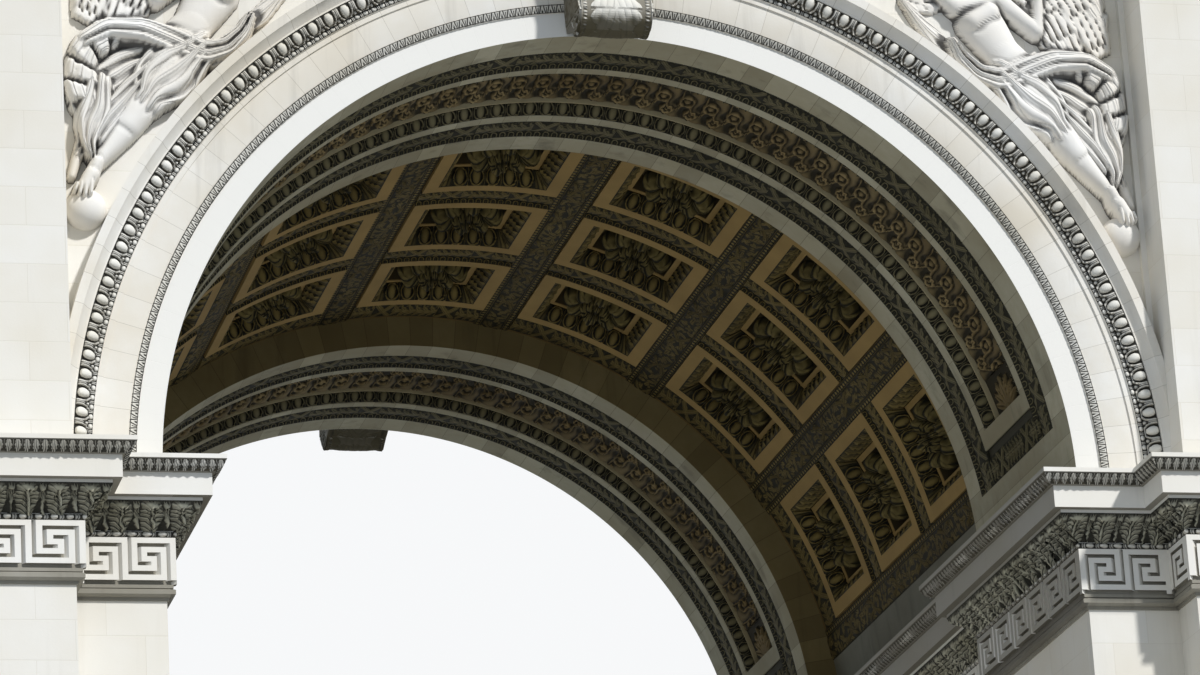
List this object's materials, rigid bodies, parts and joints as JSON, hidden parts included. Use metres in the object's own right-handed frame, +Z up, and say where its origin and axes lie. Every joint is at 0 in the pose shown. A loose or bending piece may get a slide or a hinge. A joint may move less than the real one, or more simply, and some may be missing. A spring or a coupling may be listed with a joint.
{
  "type": "triumphal arch bay",
  "caption": "Great arch of a stone triumphal monument: coffered barrel vault between carved ribs, key-pattern imposts, egg-moulded archivolts, winged spandrel figures and a plain entablature.",
  "frame": {"origin": "middle of the footprint on the ground", "axes": "+Z up, the front face looks toward -Y, the passage runs along Y, +X to the right of the front"},
  "size_m": [32.5, 24.74, 38.55],
  "materials": {
    "ashlar": "smooth limestone ashlar",
    "carved": "carved limestone",
    "vault": "weathered brown limestone",
    "figure": "pale carved limestone"
  },
  "bodies": {
    "root": {"archivolt_back_left": "carved", "archivolt_back_right": "carved", "archivolt_front_left": "carved", "archivolt_front_right": "carved", "blocking_course": "ashlar", "coffer_bay_1": "vault", "coffer_bay_2": "vault", "coffer_bay_3": "vault", "coffer_bay_4": "vault", "coffer_bay_5": "vault", "coffer_bay_6": "vault", "coffer_bay_7": "vault", "coffer_rosettes": "carved", "impost_cornice_left": "carved", "impost_cornice_right": "carved", "impost_frieze_left": "ashlar", "impost_frieze_right": "ashlar", "keystone_back": "carved", "keystone_front": "carved", "main_architrave": "ashlar", "main_cornice": "ashlar", "main_frieze": "ashlar", "pier_head_left": "ashlar", "pier_head_right": "ashlar", "pier_shaft_left": "ashlar", "pier_shaft_right": "ashlar", "plinth_left": "ashlar", "plinth_right": "ashlar", "spandrel_border_back": "ashlar", "spandrel_border_front": "ashlar", "spandrel_figure_back_left": "figure", "spandrel_figure_back_right": "figure", "spandrel_figure_front_left": "figure", "spandrel_figure_front_right": "figure", "spandrel_mass_left": "ashlar", "spandrel_mass_right": "ashlar", "vault_rib_back_1": "vault", "vault_rib_back_2": "vault", "vault_rib_back_3": "vault", "vault_rib_front_1": "vault", "vault_rib_front_2": "vault", "vault_rib_front_3": "vault", "vault_springer_left": "vault", "vault_springer_right": "vault"}
  },
  "joints": []
}
